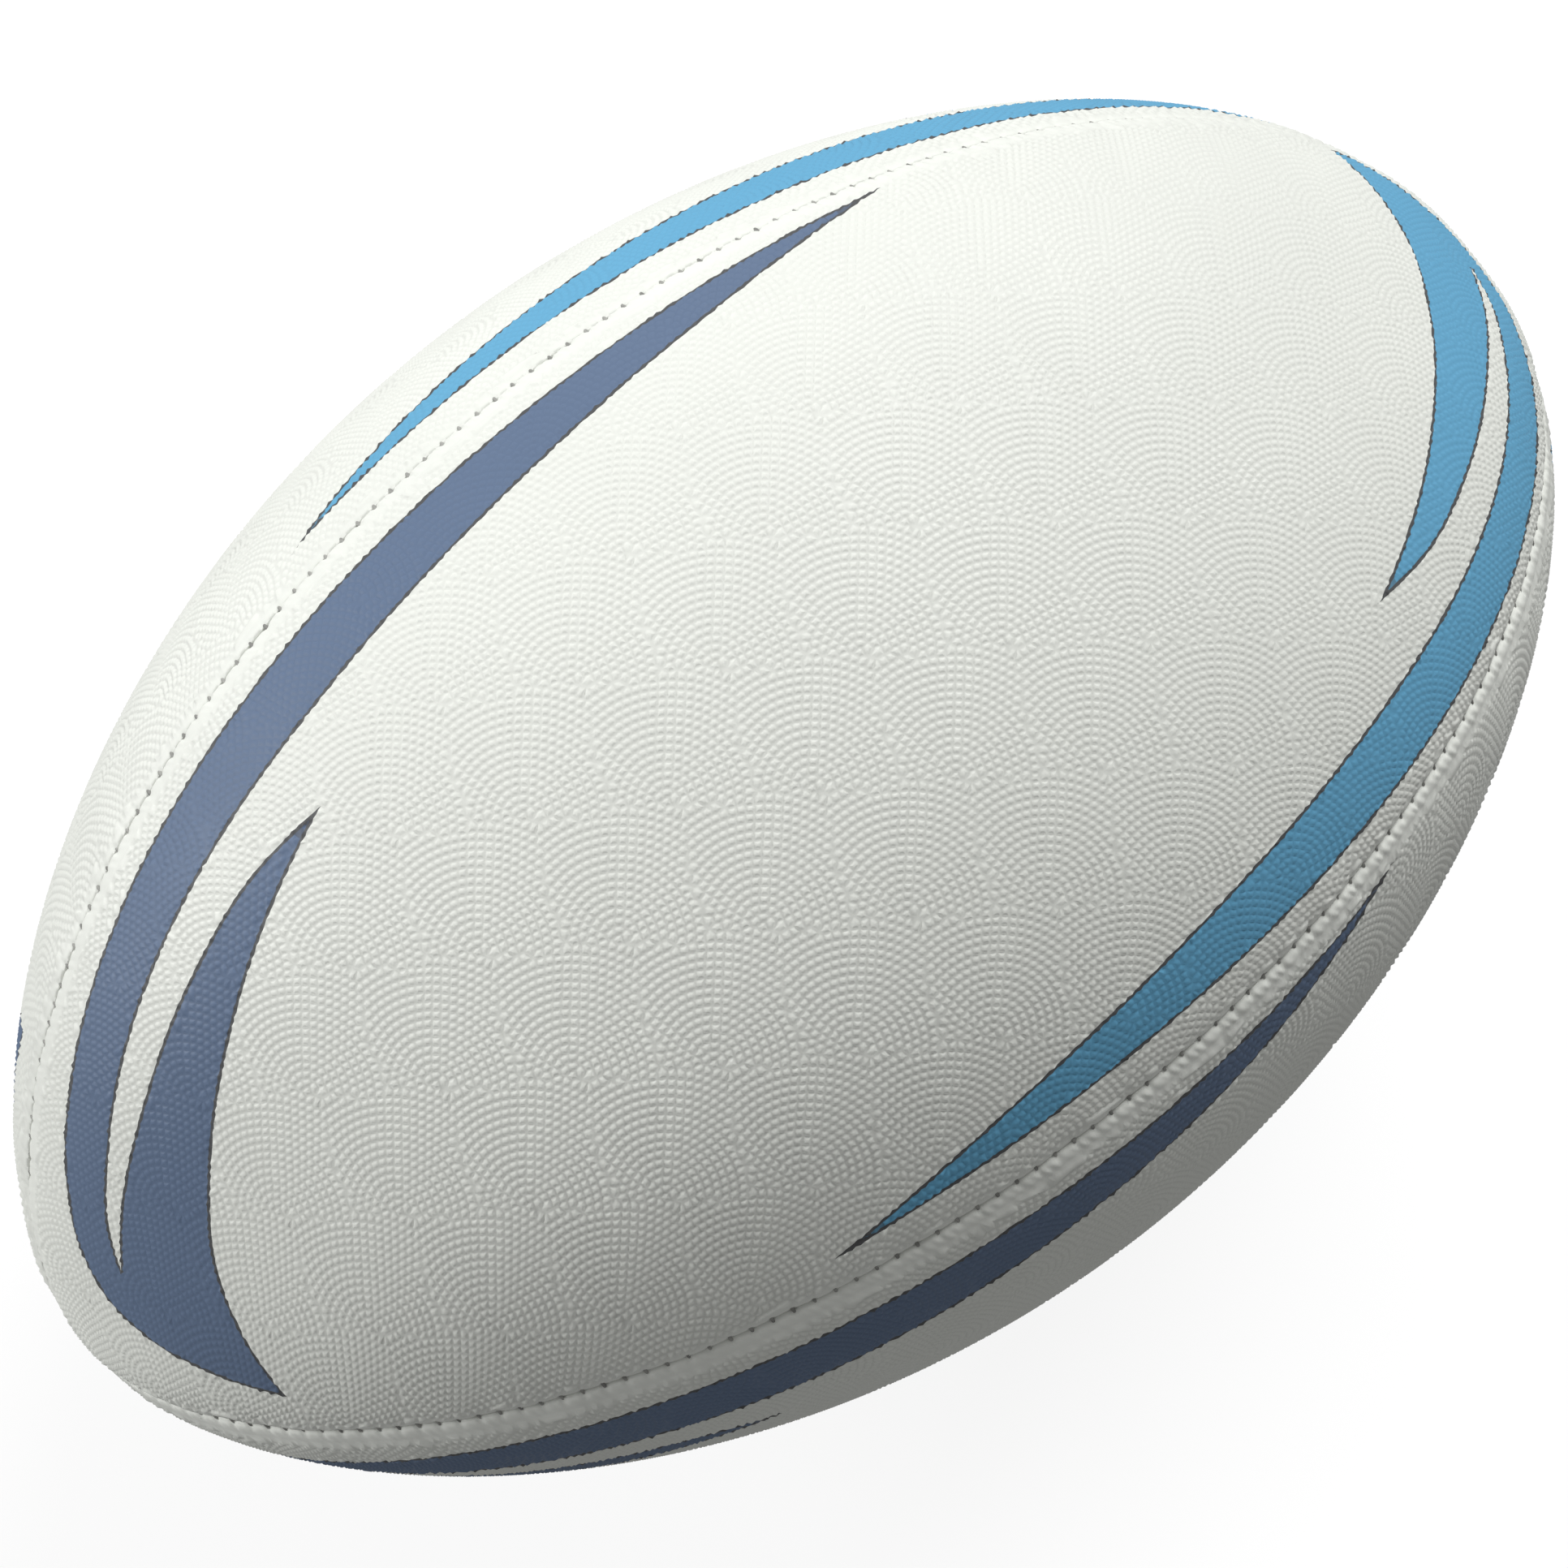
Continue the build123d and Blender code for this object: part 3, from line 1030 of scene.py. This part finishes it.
def plain_rubber(name, colour, roughness):
    """Moulded rubber or silicone with a fine grain and faint bloom."""
    material, tree, shader = nodes_of(name)
    bloom = ranged(tree, noise(tree, scale=90.0, detail=4.0), low=0.35, high=0.7)
    bloom_colour = tuple(c + 0.01 for c in shaded(colour, 1.35))
    shade = blend_colours(tree, bloom, colour, bloom_colour)
    tree.links.new(shade, shader.inputs["Base Color"])
    shader.inputs["Roughness"].default_value = roughness
    grain = noise(tree, scale=900.0, detail=2.0)
    tree.links.new(bumped(tree, grain, strength=0.25, depth=0.0001), shader.inputs["Normal"])
    return material


def twisted_thread(name, colour):
    """Waxed thread with a fine twist."""
    material, tree, shader = nodes_of(name)
    twist = bands(tree, "DIAGONAL", scale=160.0, distortion=1.5)
    shade = blend_colours(tree, twist, shaded(colour, 0.6), colour)
    tree.links.new(shade, shader.inputs["Base Color"])
    shader.inputs["Roughness"].default_value = 0.6
    tree.links.new(bumped(tree, twist, strength=0.5, depth=0.0001), shader.inputs["Normal"])
    return material


white_rubber = bare_rubber("white_rubber", WHITE)
navy_ink = printed_rubber("navy_ink", NAVY, LINE)
sky_ink = printed_rubber("sky_ink", SKY, LINE)
cover_materials = [white_rubber, navy_ink, sky_ink]
ply_cloth = cloth("ply_cloth", PLY_COLOUR, PLY_THREAD_PITCH)
patch_cloth = cloth("patch_cloth", PATCH_COLOUR, PATCH_THREAD_PITCH)
thread_material = twisted_thread("waxed_thread", THREAD_COLOUR)
bladder_rubber = plain_rubber("bladder_rubber", BLADDER_COLOUR, roughness=0.55)
valve_rubber = plain_rubber("valve_rubber", VALVE_COLOUR, roughness=0.5)
plug_silicone = plain_rubber("plug_silicone", PLUG_COLOUR, roughness=0.35)

# ==== Pieces ====

plain_panel = flat_panel(with_valve=False)
valve_panel = flat_panel(with_valve=True)
for seed, side in enumerate(PANELS):
    panel = valve_panel if side == "back" else plain_panel
    cover = cover_panel(f"pimpled_panel_{side}", side, panel, cover_materials, seed)
    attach(cover, "ball")
    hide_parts(f"cover_panel_{side}")

for layer, ply in enumerate(("outer", "middle", "inner")):
    top = COVER_DEPTH + layer * PLY_DEPTH
    for side, facing in PANELS.items():
        finer = {"across": 64, "along": 128, "hole": PLY_HOLE} if side == "back" else {}
        piece = shell(f"{ply}_ply_cloth_{side}", top, top + PLY_DEPTH, facing, ply_cloth, **finer)
        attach(piece, "ball")
        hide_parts(f"{ply}_ply_{side}")

patch_top = COVER_DEPTH + 3 * PLY_DEPTH
bladder_top = patch_top + PATCH_DEPTH
bladder = shell(
    "bladder_skin", bladder_top, bladder_top + BLADDER_DEPTH, 0.0, bladder_rubber,
    half_turn=180, across=256, along=128, hole=BLADDER_HOLE,
)
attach(bladder, "ball")
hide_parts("bladder")

for seam, angle in SEAMS.items():
    thread = seam_thread(f"stitches_{seam}", angle, thread_material)
    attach(thread, "ball")
    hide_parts(f"seam_thread_{seam}")

# The CAD pieces that keep their shape get their finish
cad_finish = {"valve_housing": valve_rubber, "valve_plug": plug_silicone, "valve_patch": patch_cloth}
for name, material in cad_finish.items():
    for slot in bpy.data.objects[name].material_slots:
        slot.material = material

# ==== Stage, lights and camera ====

def glowing_stage(name, mesh, colour, glow):
    """A plain surface that shines softly, and lights nothing by bouncing light or by reflection."""
    piece = new_object(name, mesh)
    material, _, shader = nodes_of(name + "_paper")
    shader.inputs["Base Color"].default_value = (*colour, 1)
    shader.inputs["Emission Color"].default_value = (1, 1, 1, 1)
    shader.inputs["Emission Strength"].default_value = glow
    mesh.materials.append(material)
    piece.visible_diffuse = False
    piece.visible_glossy = False
    return piece, shader


def area_light(name, way, power):
    """A soft round light that shines at the ball's middle."""
    data = bpy.data.lights.new(name, "AREA")
    data.shape = "DISK"
    data.size = LIGHT_SIZE
    data.energy = power
    light = new_object(name, data)
    light.location = Vector(way).normalized() * LIGHT_REACH
    light.rotation_euler = (-light.location).to_track_quat("-Z", "Y").to_euler()


covers = [piece for piece in bpy.data.objects if piece.name.startswith("pimpled_panel")]
lowest = min((cover.matrix_world @ Vector(corner)).z for cover in covers for corner in cover.bound_box)
floor_mesh = bpy.data.meshes.new("floor")
floor_signs = ((-1, -1), (1, -1), (1, 1), (-1, 1))
floor_corners = [(x * FLOOR_REACH, y * FLOOR_REACH, lowest) for x, y in floor_signs]
floor_mesh.from_pydata(floor_corners, [], [(0, 1, 2, 3)])
floor, floor_shader = glowing_stage("floor", floor_mesh, FLOOR_COLOUR, FLOOR_GLOW)
floor_shader.inputs["Roughness"].default_value = 0.9

# The backdrop is a dome that only the camera sees
dome_mesh = bpy.data.meshes.new("backdrop")
dome_shape = bmesh.new()
bmesh.ops.create_icosphere(dome_shape, subdivisions=4, radius=DOME_RADIUS)
dome_shape.to_mesh(dome_mesh)
dome_shape.free()
dome, dome_shader = glowing_stage("backdrop", dome_mesh, (0, 0, 0), DOME_GLOW)
dome_shader.inputs["Specular IOR Level"].default_value = 0
dome.visible_shadow = False
dome.visible_transmission = False

world = bpy.data.worlds.new("studio")
bpy.context.scene.world = world
world.use_nodes = True
world.node_tree.nodes["Background"].inputs["Color"].default_value = (1, 1, 1, 1)
world.node_tree.nodes["Background"].inputs["Strength"].default_value = WORLD_LIGHT

area_light("key", KEY_WAY, KEY_POWER)
area_light("fill", FILL_WAY, FILL_POWER)

camera_data = bpy.data.cameras.new("camera")
camera_data.sensor_width = SENSOR
camera_data.lens = LENS
camera_data.clip_start = CAMERA_NEAR
camera = new_object("camera", camera_data)
forward = (CAMERA_TARGET - CAMERA_PLACE).normalized()
upright = Vector((0, 1, 0)) - forward * forward.y
upright.normalize()
right = forward.cross(upright)
level = Matrix((right, upright, -forward)).transposed()
rolled = level @ Matrix.Rotation(math.radians(-CAMERA_ROLL), 3, "Z")
camera.matrix_world = Matrix.Translation(CAMERA_PLACE) @ rolled.to_4x4()
bpy.context.scene.camera = camera
bpy.context.scene.view_settings.view_transform = "Standard"
